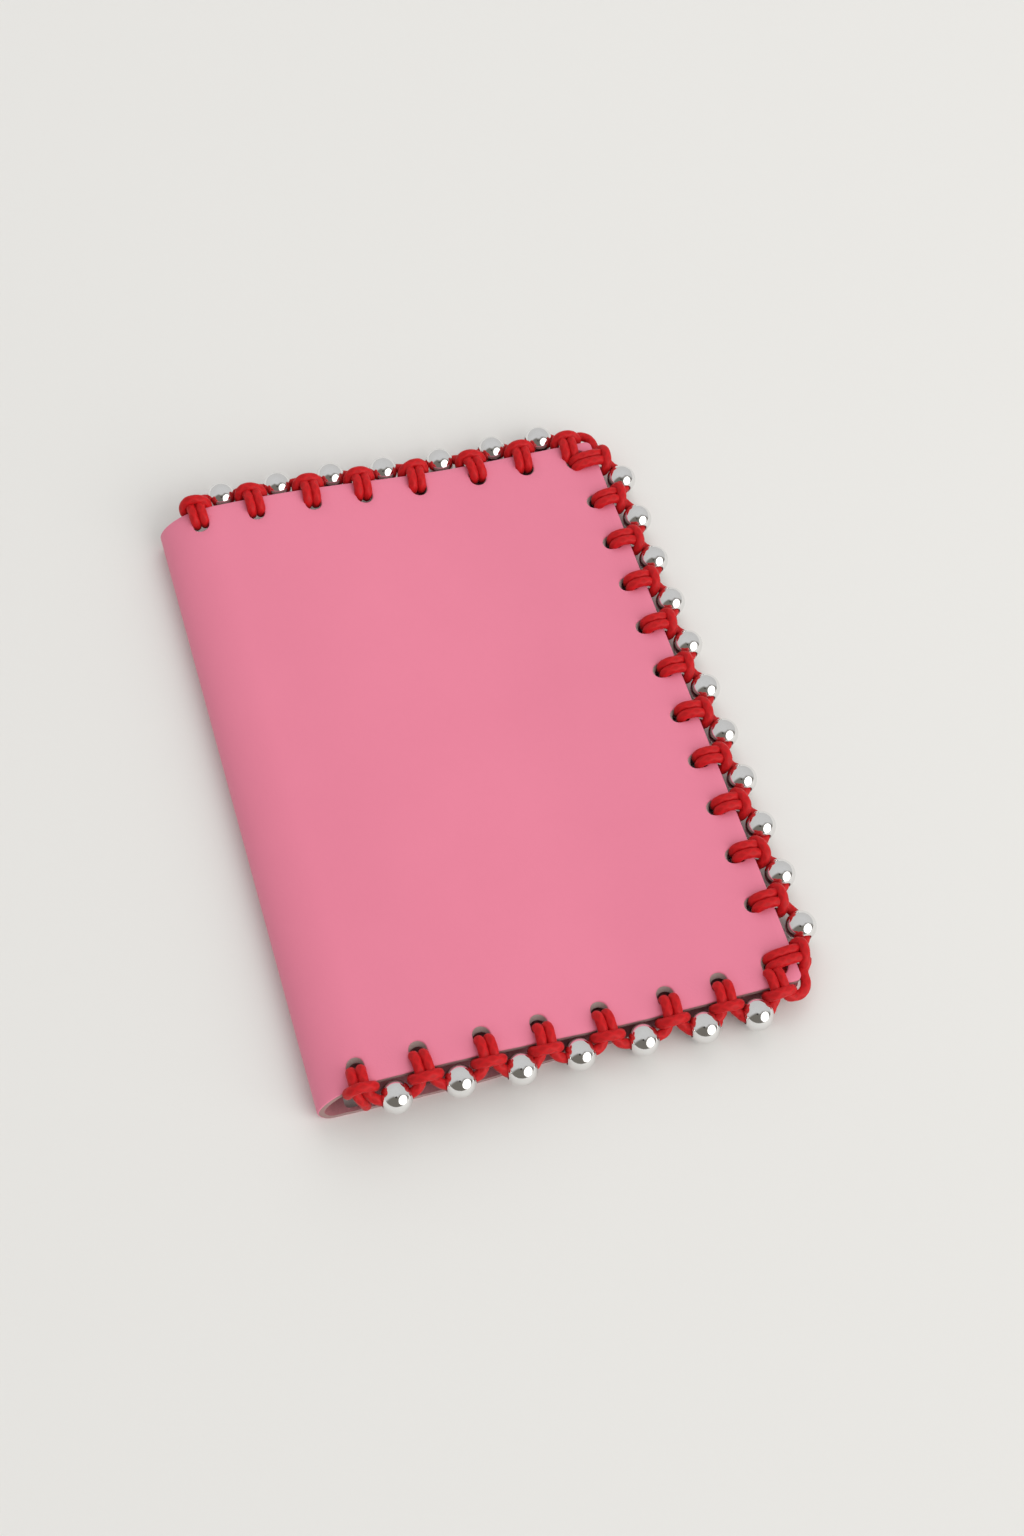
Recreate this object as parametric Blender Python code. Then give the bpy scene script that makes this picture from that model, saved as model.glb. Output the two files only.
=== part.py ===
"""Laced passport holder: one folded leather cover, two inner pockets, a lacing cord and its beads.

Metres, +Z up. The holder lies closed on its back cover, with the fold on the -X side and the
laced open side on the +X side. The origin is at the middle of the bounding box's bottom face.
"""

import math

import bmesh
import bpy
from mathutils import Vector

# Closed holder
COVER_WIDTH = 0.100          # fold to open side
COVER_LENGTH = 0.140         # near edge to far edge
LEATHER = 0.0014
CORNER_RADIUS = 0.0030       # open-side corners of both covers
OPEN_HEIGHT = 0.0051         # outer face of the front cover at the open side
CREST_HEIGHT = 0.0089        # outer face of the front cover beside the fold
CREST_END = 0.020            # where the front cover starts to fall towards the open side
FALL_END = 0.072             # where it has come down to OPEN_HEIGHT

# Fold
LOWER_RADIUS = 0.0034        # tight bend at the table
UPPER_REACH = 0.012          # the upper bend is a quarter ellipse this long
HINGE_GAP = 0.0006
LOWER_HINGE_ANGLE = math.radians(45)
BACK_FLAT_STATION = 0.050    # one station between the back cover's bend and its open side
UPPER_HINGE_SLOPE = 1.0      # the upper hinge is where the bend has turned by half a right angle

# Punched slots and lacing
SLOT_WIDTH = 0.0040
SLOT_OUTER_END = 0.0019      # bridge of leather between slot and edge
SLOT_INNER_END = 0.0059
SLOT_CORNER = 0.0006
CORNER_SLOT = 0.0059
CORNER_SLOT_RADIUS = 0.0016
EDGE_SLOTS_MM = (8.8, 21.3, 34.1, 45.8, 58.4, 72.2, 83.5)  # from the fold, marked by hand
FIRST_SIDE_SLOT = 0.0183
LAST_SIDE_SLOT = 0.1233
SIDE_SLOT_COUNT = 10
CORNER_STITCH = 0.0054       # from each of the two edges to the corner's stitches
CORD_RADIUS = 0.00085
STRAND_ALONG = 0.0027        # where a stitch's outer strands pass the leather's edge
STRAND_OUT = 0.00135
BEAD_RADIUS = 0.0032
BEAD_BORE_RADIUS = 0.00125
BEAD_OUT_EDGE = 0.0035       # bead centres beyond the near and far edges, at the least
BEAD_OUT_SIDE = 0.0042       # bead centres beyond the open side
BEAD_CLEAR = 0.0001          # between a bead and the stitches beside it
BEAD_DROP = 0.00105          # bead centres below the middle of the leather
BEAD_SAG = 0.13              # share of the extra height near the fold that the beads drop

# Inner pockets
POCKET_THICKNESS = 0.0007
POCKET_GAP = 0.0003
POCKET_START_X = 0.046
POCKET_END_X = 0.0925
POCKET_MARGIN_Y = 0.0075
THUMB_NOTCH = 0.011          # half its width
THUMB_NOTCH_DEPTH = 0.0066

# Heights that each cutter reaches, past both faces of what it cuts
BACK_CUT = (-0.001, 0.0025)
FRONT_CUT = (0.0026, 0.012)
CUTTER_MARGIN = 0.003

# The frame's origin, from the fold's outer face and from the near edge
CENTRE_X = (COVER_WIDTH + BEAD_OUT_SIDE + BEAD_RADIUS) / 2
CENTRE_Y = COVER_LENGTH / 2

PINK = (0.80, 0.23, 0.34, 1.0)
PINK_POCKET = (0.62, 0.30, 0.33, 1.0)
RED = (0.60, 0.015, 0.02, 1.0)
SILVER = (0.86, 0.86, 0.88, 1.0)


def clear_scene():
    for obj in list(bpy.data.objects):
        bpy.data.objects.remove(obj, do_unlink=True)


def material(name, colour, roughness, metallic=0.0):
    made = bpy.data.materials.new(name)
    made.use_nodes = True
    shader = made.node_tree.nodes["Principled BSDF"]
    shader.inputs["Base Color"].default_value = colour
    shader.inputs["Roughness"].default_value = roughness
    shader.inputs["Metallic"].default_value = metallic
    return made


def add_at_rest(name, data, parent, pivot, finish):
    """An object whose data is in the cover's own space, under a pivot placed in that space."""
    obj = bpy.data.objects.new(name, data)
    bpy.context.scene.collection.objects.link(obj)
    data.materials.append(finish)
    obj.parent = parent
    obj.location = -pivot
    return obj


def add_empty(name, location):
    empty = bpy.data.objects.new(name, None)
    empty.location = location
    bpy.context.scene.collection.objects.link(empty)
    return empty


# ---- the line that the leather's outer face follows, seen along Y


def front_height(x):
    """Outer face of the front cover above the table, x from the fold."""
    if x < UPPER_REACH:
        share = (UPPER_REACH - x) / UPPER_REACH
        return LOWER_RADIUS + (CREST_HEIGHT - LOWER_RADIUS) * math.sqrt(1 - share**2)
    fall = min(max((x - CREST_END) / (FALL_END - CREST_END), 0), 1)
    return CREST_HEIGHT - (CREST_HEIGHT - OPEN_HEIGHT) * (1 - math.cos(math.pi * fall)) / 2


def front_slope(x):
    step = 0.0002
    return (front_height(x + step) - front_height(x - step)) / (2 * step)


def upper_bend_point(angle):
    """On the quarter ellipse, from 0 at the fold's outermost line to a right angle at the crest."""
    x = UPPER_REACH * (1 - math.cos(angle))
    z = LOWER_RADIUS + (CREST_HEIGHT - LOWER_RADIUS) * math.sin(angle)
    return x, z


def lower_bend_point(angle):
    """On the tight bend, from 0 at the table to a right angle at the fold's outermost line."""
    return LOWER_RADIUS * (1 - math.sin(angle)), LOWER_RADIUS * (1 - math.cos(angle))


def upper_hinge_angle():
    rise = CREST_HEIGHT - LOWER_RADIUS
    return math.atan2(rise, UPPER_REACH * UPPER_HINGE_SLOPE)


def spread(start, end, count):
    return [start + (end - start) * i / (count - 1) for i in range(count)]


# A station is a point of the outer line and the unit normal that points into the leather there:
# (x, z, normal x, normal z).


def upper_station(angle):
    x, z = upper_bend_point(angle)
    dx = UPPER_REACH * math.sin(angle)
    dz = (CREST_HEIGHT - LOWER_RADIUS) * math.cos(angle)
    size = math.hypot(dx, dz)
    return x, z, dz / size, -dx / size


def lower_station(angle):
    x, z = lower_bend_point(angle)
    return x, z, math.sin(angle), math.cos(angle)


def front_station(x):
    slope = front_slope(x)
    size = math.hypot(1, slope)
    return x, front_height(x), slope / size, -1 / size


def rounding_places():
    """Stations across the rounded corners, from the straight part to the open side."""
    start = COVER_WIDTH - CORNER_RADIUS
    return [start + CORNER_RADIUS * math.sin(a) for a in spread(0, math.pi / 2, 5)]


def back_line():
    flat = [(x, 0.0, 0.0, 1.0) for x in rounding_places()[::-1] + [BACK_FLAT_STATION]]
    gap = HINGE_GAP / 2 / LOWER_RADIUS
    return flat + [lower_station(a) for a in spread(0, LOWER_HINGE_ANGLE - gap, 4)]


def spine_line():
    gap_low = HINGE_GAP / 2 / LOWER_RADIUS
    gap_high = HINGE_GAP / 2 / (CREST_HEIGHT - LOWER_RADIUS)
    low = [lower_station(a) for a in spread(LOWER_HINGE_ANGLE + gap_low, math.pi / 2, 4)]
    return low + [upper_station(a) for a in spread(0, upper_hinge_angle() - gap_high, 4)[1:]]


def front_line():
    gap = HINGE_GAP / 2 / (CREST_HEIGHT - LOWER_RADIUS)
    bend = [upper_station(a) for a in spread(upper_hinge_angle() + gap, math.pi / 2, 7)]
    fall = [front_station(x) for x in spread(CREST_END, FALL_END, 9)]
    return bend + fall + [(x, OPEN_HEIGHT, 0.0, -1.0) for x in rounding_places()]


def corner_inset(x):
    """How far a cover's ends draw in at x, for its rounded corners."""
    into = x - (COVER_WIDTH - CORNER_RADIUS)
    if into <= 0:
        return 0.0
    return CORNER_RADIUS - math.sqrt(max(CORNER_RADIUS**2 - into**2, 0.0))


def finished_mesh(name, mesh):
    """The bmesh as mesh data, its normals outwards."""
    bmesh.ops.recalc_face_normals(mesh, faces=mesh.faces)
    data = bpy.data.meshes.new(name)
    mesh.to_mesh(data)
    mesh.free()
    return data


def sheet_mesh(name, line, depths, y_range):
    """A sheet that follows the line between two depths into it; y_range(x) gives its two ends."""
    mesh = bmesh.new()
    rings = []
    for x, z, nx, nz in line:
        low, high = y_range(x)
        ring = []
        for depth, y in ((depths[0], low), (depths[0], high), (depths[1], high), (depths[1], low)):
            ring.append(mesh.verts.new((x + nx * depth, y, z + nz * depth)))
        rings.append(ring)
    for first, second in zip(rings, rings[1:]):
        for i in range(4):
            j = (i + 1) % 4
            mesh.faces.new((first[i], first[j], second[j], second[i]))
    mesh.faces.new(rings[0])
    mesh.faces.new(rings[-1])
    return finished_mesh(name, mesh)


def cover_ends(x):
    inset = corner_inset(x)
    return inset, COVER_LENGTH - inset


# ---- slots


def slot_outline():
    """A slot seen in plan, as (along the edge, in from the edge): round inside, squarer outside."""
    half = SLOT_WIDTH / 2
    square, centre = SLOT_OUTER_END + SLOT_CORNER, SLOT_INNER_END - half
    points = [(-half, square), (-half + SLOT_CORNER, SLOT_OUTER_END)]
    points += [(half - SLOT_CORNER, SLOT_OUTER_END), (half, square)]
    for angle in spread(0, math.pi, 6):
        points.append((half * math.cos(angle), centre + half * math.sin(angle)))
    return points


def corner_slot_outline():
    low, high = SLOT_OUTER_END, SLOT_OUTER_END + CORNER_SLOT
    radius = CORNER_SLOT_RADIUS
    points = []
    for cx, cy, start in (
        (high - radius, high - radius, 0),
        (low + radius, high - radius, 1),
        (low + radius, low + radius, 2),
        (high - radius, low + radius, 3),
    ):
        for angle in spread(start * math.pi / 2, (start + 1) * math.pi / 2, 3):
            points.append((cx + radius * math.cos(angle), cy + radius * math.sin(angle)))
    return points


def prism(mesh, plan, z_low, z_high):
    bottom = [mesh.verts.new((x, y, z_low)) for x, y in plan]
    top = [mesh.verts.new((x, y, z_high)) for x, y in plan]
    mesh.faces.new(bottom)
    mesh.faces.new(top)
    for i in range(len(plan)):
        j = (i + 1) % len(plan)
        mesh.faces.new((bottom[i], bottom[j], top[j], top[i]))


def edge_places():
    return [x / 1000 for x in EDGE_SLOTS_MM]


def side_places():
    return spread(FIRST_SIDE_SLOT, LAST_SIDE_SLOT, SIDE_SLOT_COUNT)


def slot_plans():
    outline = slot_outline()
    plans = []
    for x in edge_places():
        plans.append([(x + t, n) for t, n in outline])
        plans.append([(x + t, COVER_LENGTH - n) for t, n in outline])
    for y in side_places():
        plans.append([(COVER_WIDTH - n, y + t) for t, n in outline])
    corner = corner_slot_outline()
    plans.append([(COVER_WIDTH - a, b) for a, b in corner])
    plans.append([(COVER_WIDTH - a, COVER_LENGTH - b) for a, b in corner])
    return plans


def punch(sheet, name, plans, heights):
    """Cuts every plan out of the sheet, between two heights."""
    mesh = bmesh.new()
    for plan in plans:
        prism(mesh, plan, *heights)
    cutter = bpy.data.objects.new(name, finished_mesh(name, mesh))
    bpy.context.scene.collection.objects.link(cutter)
    cutter.location = (-CENTRE_X, -CENTRE_Y, 0)
    cutter.hide_render = True
    cutter.display_type = "WIRE"
    cut = sheet.modifiers.new(name, "BOOLEAN")
    cut.operation = "DIFFERENCE"
    cut.solver = "EXACT"
    cut.object = cutter


# ---- pockets


def pocket_mesh(name, line):
    """A pocket sheet with a shallow thumb notch in the edge that faces the fold."""

    def ends(x):
        return POCKET_MARGIN_Y, COVER_LENGTH - POCKET_MARGIN_Y

    outer = LEATHER + POCKET_GAP
    return sheet_mesh(name, line, (outer, outer + POCKET_THICKNESS), ends)


def notch_plan():
    """The thumb notch in plan: half an ellipse, run out past the pocket's edge."""
    middle = COVER_LENGTH / 2
    plan = []
    for angle in spread(-math.pi / 2, math.pi / 2, 9):
        x = POCKET_START_X + THUMB_NOTCH_DEPTH * math.cos(angle)
        plan.append((x, middle + THUMB_NOTCH * math.sin(angle)))
    plan.append((POCKET_START_X - CUTTER_MARGIN, middle + THUMB_NOTCH))
    plan.append((POCKET_START_X - CUTTER_MARGIN, middle - THUMB_NOTCH))
    return plan


# ---- lacing


def leather_middle(x):
    return front_height(x) - LEATHER / 2


def bead_height(x):
    extra = leather_middle(x) - (OPEN_HEIGHT - LEATHER / 2)
    return leather_middle(x) - BEAD_DROP - BEAD_SAG * extra


def bead_out(gap, least):
    """How far out a bead lies: where two stitches are close, they push it a little further."""
    touch = BEAD_RADIUS + CORD_RADIUS + BEAD_CLEAR
    beside = gap / 2 - STRAND_ALONG
    return max(least, STRAND_OUT + math.sqrt(max(touch**2 - beside**2 - BEAD_DROP**2, 0)))


def half_hitch():
    """Half of a cow hitch round the bridge of leather, as (along, outwards, up) in metres.

    It runs from the tail under the bar, up the front, through the slot, back out behind the
    leather and round the edge to the bar that crosses over both tails.
    """
    strand = 0.00095
    over = LEATHER / 2 + CORD_RADIUS + 0.0002
    through = SLOT_OUTER_END + CORD_RADIUS + 0.00025
    return [
        (-0.0012, 0.0023, -0.0001),
        (-strand, 0.0012, 0.0010),
        (-strand, 0.0001, over),
        (-strand, -SLOT_OUTER_END + 0.0001, over),
        (-strand, -through, 0.0010),
        (-strand, -through, -0.0010),
        (-strand, -SLOT_OUTER_END + 0.0001, -over),
        (-0.0020, 0.0002, -over - 0.00015),
        (-STRAND_ALONG, STRAND_OUT - 0.00015, -0.0008),
        (-STRAND_ALONG, STRAND_OUT + 0.00015, 0.0009),
        (-0.0016, 0.0023, 0.0026),
    ]


def hitch(base, along, outwards, slope):
    """A whole cow hitch in the part's space, entered from the -along side."""
    tilt = math.atan(slope)
    up = Vector((-along.x * math.sin(tilt), -along.y * math.sin(tilt), math.cos(tilt)))
    forward = Vector((along.x * math.cos(tilt), along.y * math.cos(tilt), math.sin(tilt)))
    half = half_hitch()
    whole = half + [(-t, n, z) for t, n, z in reversed(half)]
    return [base + forward * t + outwards * n + up * z for t, n, z in whole]


def through_bead(centre, along):
    reach = along * BEAD_RADIUS * 0.9
    return [centre - reach, centre + reach]


def edge_run(far):
    """Stitches and beads along the near or far edge, in order from the fold to the corner."""
    along = Vector((1, 0, 0))
    y = COVER_LENGTH if far else 0.0
    outwards = Vector((0, 1, 0)) if far else Vector((0, -1, 0))
    stitches = edge_places() + [COVER_WIDTH - CORNER_STITCH]
    points, beads = [], []
    for i, x in enumerate(stitches):
        points += hitch(Vector((x, y, leather_middle(x))), along, outwards, front_slope(x))
        if i + 1 < len(stitches):
            middle = (x + stitches[i + 1]) / 2
            out = bead_out(stitches[i + 1] - x, BEAD_OUT_EDGE)
            centre = Vector((middle, y, bead_height(middle))) + outwards * out
            beads.append(centre)
            points += through_bead(centre, along)
    return points, beads


def side_run():
    """Stitches and beads along the open side, in order from the near corner to the far one."""
    along = Vector((0, 1, 0))
    outwards = Vector((1, 0, 0))
    middle_z = leather_middle(COVER_WIDTH)
    places = [CORNER_STITCH] + side_places() + [COVER_LENGTH - CORNER_STITCH]
    points, beads = [], []
    for i, y in enumerate(places):
        points += hitch(Vector((COVER_WIDTH, y, middle_z)), along, outwards, 0.0)
        if i + 1 < len(places):
            between = (y + places[i + 1]) / 2
            out = bead_out(places[i + 1] - y, BEAD_OUT_SIDE)
            centre = Vector((COVER_WIDTH + out, between, middle_z - BEAD_DROP))
            beads.append(centre)
            points += through_bead(centre, along)
    return points, beads


def corner_loop(y_sign):
    """The bare cord that turns the corner beyond the leather, from the edge run to the side run."""
    z = leather_middle(COVER_WIDTH) - 0.0009
    y = 0.0 if y_sign < 0 else COVER_LENGTH
    steps = [(-0.0030, 0.0030), (-0.0004, 0.0029), (0.0020, 0.0020), (0.0029, -0.0004),
             (0.0030, -0.0030)]
    return [Vector((COVER_WIDTH + a, y + y_sign * b, z)) for a, b in steps]


def cord_end(run_start, outwards):
    """A short cut tail beside the fold, dropping from the first stitch towards the back cover."""
    drop = Vector((0, 0, -1))
    return [
        run_start - Vector((0.0011, 0, 0)) + outwards * 0.0008 + drop * 0.0026,
        run_start - Vector((0.0006, 0, 0)) + outwards * 0.0007 + drop * 0.0011,
    ]


def lacing():
    """The cord's whole route from the near end of the fold to the far end, and the beads."""
    near_points, near_beads = edge_run(False)
    far_points, far_beads = edge_run(True)
    side_points, side_beads = side_run()
    route = cord_end(near_points[0], Vector((0, -1, 0))) + near_points
    route += corner_loop(-1) + side_points
    route += list(reversed(corner_loop(1))) + list(reversed(far_points))
    route += list(reversed(cord_end(far_points[0], Vector((0, 1, 0)))))
    beads = [("near", i + 1, c, "X") for i, c in enumerate(near_beads)]
    beads += [("side", i + 1, c, "Y") for i, c in enumerate(side_beads)]
    beads += [("far", i + 1, c, "X") for i, c in enumerate(far_beads)]
    return route, beads


def cord_curve(name, route):
    curve = bpy.data.curves.new(name, "CURVE")
    curve.dimensions = "3D"
    curve.bevel_depth = CORD_RADIUS
    curve.bevel_resolution = 1
    curve.use_fill_caps = True
    spline = curve.splines.new("POLY")
    spline.points.add(len(route) - 1)
    for point, place in zip(spline.points, route):
        point.co = (place.x, place.y, place.z, 1.0)
    return curve


def bead_mesh(name, axis):
    """A ball with a bore along one axis, turned from a half profile."""
    segments = 12
    mouth = math.asin(BEAD_BORE_RADIUS / BEAD_RADIUS)
    profile = []
    for angle in spread(mouth, math.pi - mouth, 6):
        profile.append((BEAD_RADIUS * math.cos(angle), BEAD_RADIUS * math.sin(angle)))
    mesh = bmesh.new()
    rings = []
    for along, radius in profile:
        ring = []
        for i in range(segments):
            turn = 2 * math.pi * i / segments
            a, b = radius * math.cos(turn), radius * math.sin(turn)
            ring.append(mesh.verts.new((along, a, b) if axis == "X" else (a, along, b)))
        rings.append(ring)
    for k in range(len(rings)):
        first, second = rings[k], rings[(k + 1) % len(rings)]
        for i in range(segments):
            j = (i + 1) % segments
            mesh.faces.new((first[i], first[j], second[j], second[i]))
    data = finished_mesh(name, mesh)
    data.shade_smooth()
    return data


# ---- assembly


def build():
    clear_scene()
    pink = material("pink leather", PINK, 0.45)
    lining = material("pocket leather", PINK_POCKET, 0.6)
    red = material("red cord", RED, 0.4)
    silver = material("polished silver", SILVER, 0.12, 1.0)

    holder = add_empty("holder", (-CENTRE_X, -CENTRE_Y, 0))
    low_x, low_z = lower_bend_point(LOWER_HINGE_ANGLE)
    high_x, high_z = upper_bend_point(upper_hinge_angle())
    corner, low_pivot, high_pivot = Vector(), Vector((low_x, 0, low_z)), Vector((high_x, 0, high_z))
    low_hinge = add_empty("back_fold", low_pivot)
    low_hinge.parent = holder
    high_hinge = add_empty("front_fold", high_pivot - low_pivot)
    high_hinge.parent = low_hinge

    leather = (0, LEATHER)
    back = add_at_rest("back_cover", sheet_mesh("back_cover", back_line(), leather, cover_ends),
                       holder, corner, pink)
    punch(back, "back_slots", slot_plans(), BACK_CUT)
    add_at_rest("spine", sheet_mesh("spine", spine_line(), leather, cover_ends),
                low_hinge, low_pivot, pink)
    front = add_at_rest("front_cover", sheet_mesh("front_cover", front_line(), leather, cover_ends),
                        high_hinge, high_pivot, pink)
    punch(front, "front_slots", slot_plans(), FRONT_CUT)

    flat = [(x, 0.0, 0.0, 1.0) for x in (POCKET_END_X, POCKET_START_X)]
    back_pocket = add_at_rest("back_pocket", pocket_mesh("back_pocket", flat),
                              holder, corner, lining)
    punch(back_pocket, "back_notch", [notch_plan()], BACK_CUT)
    curved = [front_station(x) for x in spread(POCKET_START_X, POCKET_END_X, 9)]
    front_pocket = add_at_rest("front_pocket", pocket_mesh("front_pocket", curved),
                               high_hinge, high_pivot, lining)
    punch(front_pocket, "front_notch", [notch_plan()], FRONT_CUT)

    route, beads = lacing()
    add_at_rest("lacing_cord", cord_curve("lacing_cord", route), high_hinge, high_pivot, red)
    for run, number, centre, axis in beads:
        name = f"bead_{run}_{number:02d}"
        add_at_rest(name, bead_mesh(name, axis), high_hinge, high_pivot - centre, silver)


build()
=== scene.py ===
"""A laced leather passport holder, closed, on pale paper. Metres, +Z up, in the frame's space."""

import math
import random

import bmesh
import bpy
import numpy as np
from mathutils import Matrix, Vector, geometry


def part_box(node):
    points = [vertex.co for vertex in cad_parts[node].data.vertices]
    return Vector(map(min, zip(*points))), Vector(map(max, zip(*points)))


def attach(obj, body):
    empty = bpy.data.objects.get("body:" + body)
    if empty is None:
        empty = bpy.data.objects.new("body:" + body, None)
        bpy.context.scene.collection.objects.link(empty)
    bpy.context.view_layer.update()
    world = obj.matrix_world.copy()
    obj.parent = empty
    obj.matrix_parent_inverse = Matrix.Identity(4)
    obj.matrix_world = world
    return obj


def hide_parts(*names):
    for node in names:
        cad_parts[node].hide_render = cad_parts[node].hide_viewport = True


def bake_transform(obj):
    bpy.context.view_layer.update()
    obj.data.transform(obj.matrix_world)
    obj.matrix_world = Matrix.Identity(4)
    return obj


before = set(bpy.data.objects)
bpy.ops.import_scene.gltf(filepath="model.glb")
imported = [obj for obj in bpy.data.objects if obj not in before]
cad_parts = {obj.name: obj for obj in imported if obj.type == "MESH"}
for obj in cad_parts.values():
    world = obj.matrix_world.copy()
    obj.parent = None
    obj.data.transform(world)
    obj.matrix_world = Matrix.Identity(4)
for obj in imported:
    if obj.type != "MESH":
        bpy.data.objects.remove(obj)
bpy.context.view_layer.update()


# ---------------------------------------------------------------------------------------------
# The camera, a short telephoto held by hand over the near left corner of the holder, and so
# turned a little about its own line of sight.

VIEW_TARGET = Vector((0.0043, -0.0080, 0.0040))
VIEW_DISTANCE = 0.4649
VIEW_AZIMUTH = math.radians(-22.83)      # 0 looks along +Y
VIEW_ELEVATION = math.radians(59.43)
VIEW_ROLL = math.radians(7.03)
FRAME_HEIGHT_MM = 36.0
LENS_MM = 52.1

sight = Vector((
    -math.sin(VIEW_AZIMUTH) * math.cos(VIEW_ELEVATION),
    math.cos(VIEW_AZIMUTH) * math.cos(VIEW_ELEVATION),
    -math.sin(VIEW_ELEVATION),
))
level = Vector((math.cos(VIEW_AZIMUTH), math.sin(VIEW_AZIMUTH), 0))
upright = level.cross(sight)
camera_right = level * math.cos(VIEW_ROLL) + upright * math.sin(VIEW_ROLL)
camera_up = upright * math.cos(VIEW_ROLL) - level * math.sin(VIEW_ROLL)
camera = bpy.data.objects.new("camera", bpy.data.cameras.new("camera"))
camera.matrix_world = Matrix.Translation(VIEW_TARGET - sight * VIEW_DISTANCE) @ Matrix(
    (camera_right, camera_up, -sight)
).transposed().to_4x4()
camera.data.sensor_fit = "VERTICAL"
camera.data.sensor_height = FRAME_HEIGHT_MM
camera.data.lens = LENS_MM
camera.data.clip_start = 0.01
bpy.context.scene.collection.objects.link(camera)
bpy.context.scene.camera = camera
bpy.context.scene.view_settings.view_transform = "Standard"


# ---------------------------------------------------------------------------------------------
# The paper: a wide roll of matt off-white backdrop paper, laid flat under the holder. It is the
# stage and not part of the holder.

PAPER_SIDE = 3.0
PAPER_COLOUR = (0.80, 0.79, 0.765, 1)
PAPER_SHADE = 0.965              # of its colour, where it is cloudiest


def node_material(name):
    """A new material with its Principled shader and its node tree."""
    made = bpy.data.materials.new(name)
    made.use_nodes = True
    tree = made.node_tree
    return made, tree.nodes["Principled BSDF"], tree


def add_node(tree, kind, **inputs):
    """A node with its sockets set by name, spaces written as underscores."""
    node = tree.nodes.new(kind)
    for name, value in inputs.items():
        node.inputs[name.replace("_", " ")].default_value = value
    return node


def feed(tree, socket, value):
    """Gives a socket its value, which is another node's output or a plain one."""
    if isinstance(value, bpy.types.NodeSocket):
        tree.links.new(value, socket)
    else:
        socket.default_value = value


def colour_mix(tree, factor, first, second):
    """A colour mix whose three inputs are each a socket or a plain value."""
    node = tree.nodes.new("ShaderNodeMix")
    node.data_type = "RGBA"
    for index, value in ((0, factor), (6, first), (7, second)):
        feed(tree, node.inputs[index], value)
    return node.outputs[2]


def mesh_object(name, mesh, *materials):
    """A bmesh made into a linked object with its materials."""
    data = bpy.data.meshes.new(name)
    mesh.to_mesh(data)
    mesh.free()
    for made in materials:
        data.materials.append(made)
    obj = bpy.data.objects.new(name, data)
    bpy.context.scene.collection.objects.link(obj)
    return obj


def paper_material():
    made, shader, tree = node_material("backdrop paper")
    place = tree.nodes.new("ShaderNodeTexCoord")
    fibres = add_node(tree, "ShaderNodeTexNoise", Scale=900.0, Detail=4.0)
    tree.links.new(place.outputs["Object"], fibres.inputs["Vector"])
    bump = add_node(tree, "ShaderNodeBump", Strength=0.08, Distance=0.0002)
    tree.links.new(fibres.outputs["Fac"], bump.inputs["Height"])
    tree.links.new(bump.outputs["Normal"], shader.inputs["Normal"])
    cloud = add_node(tree, "ShaderNodeTexNoise", Scale=2.2, Detail=2.0)
    tree.links.new(place.outputs["Object"], cloud.inputs["Vector"])
    shade = [c * PAPER_SHADE for c in PAPER_COLOUR[:3]] + [1]
    colour = colour_mix(tree, cloud.outputs["Fac"], PAPER_COLOUR, shade)
    tree.links.new(colour, shader.inputs["Base Color"])
    shader.inputs["Roughness"].default_value = 0.7
    shader.inputs["Specular IOR Level"].default_value = 0.25
    return made


paper_mesh = bmesh.new()
bmesh.ops.create_grid(paper_mesh, x_segments=12, y_segments=12, size=PAPER_SIDE / 2)
paper = mesh_object("backdrop_paper", paper_mesh, paper_material())


# ---------------------------------------------------------------------------------------------
# Daylight: one big soft window low on the near right and a white wall beyond the far edge, in a
# pale room. Its near side is dim and the held camera is black, which shows in the beads only.

WINDOW_FROM = Vector((0.55, -0.72, 0.50))
WINDOW_WIDE = 1.9
WINDOW_ENERGY = 7.9
WINDOW_SPREAD = math.radians(110)
WALL_FROM = Vector((0.35, 0.80, 0.75))
WALL_WIDE = 1.5
WALL_ENERGY = 7.0
LIGHT_REACH = 1.6                # from the holder to either of them
ROOM_STRENGTH = 0.68
CAMERA_IN_HAND = 0.055           # the radius of what the beads see of it
CAMERA_BACK = 1.03               # times the distance, so that it is behind the lens


def facing(direction, reach):
    """A placement at that reach from the holder in one direction, turned to face it."""
    turn = (-direction).to_track_quat("-Z", "Y").to_matrix().to_4x4()
    return Matrix.Translation(direction.normalized() * reach) @ turn


window_light = bpy.data.lights.new("window", "AREA")
window_light.shape = "DISK"
window_light.size = WINDOW_WIDE
window_light.energy = WINDOW_ENERGY
window_light.spread = WINDOW_SPREAD
window_light.color = (1.0, 0.99, 0.97)
window = bpy.data.objects.new("window", window_light)
window.matrix_world = facing(WINDOW_FROM, LIGHT_REACH)
bpy.context.scene.collection.objects.link(window)

wall_light = bpy.data.lights.new("white_wall", "AREA")
wall_light.shape = "SQUARE"
wall_light.size = WALL_WIDE
wall_light.energy = WALL_ENERGY
white_wall = bpy.data.objects.new("white_wall", wall_light)
white_wall.matrix_world = facing(WALL_FROM, LIGHT_REACH)
white_wall.visible_glossy = False
bpy.context.scene.collection.objects.link(white_wall)

black_camera, camera_shader, _ = node_material("black camera")
camera_shader.inputs["Base Color"].default_value = (0.02, 0.015, 0.015, 1)
camera_mesh = bmesh.new()
bmesh.ops.create_circle(camera_mesh, cap_ends=True, segments=32, radius=CAMERA_IN_HAND)
held_camera = mesh_object("camera_in_hand", camera_mesh, black_camera)
held_camera.matrix_world = facing(-sight, VIEW_DISTANCE * CAMERA_BACK)
held_camera.visible_shadow = False
held_camera.visible_diffuse = False
held_camera.visible_camera = False


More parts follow.
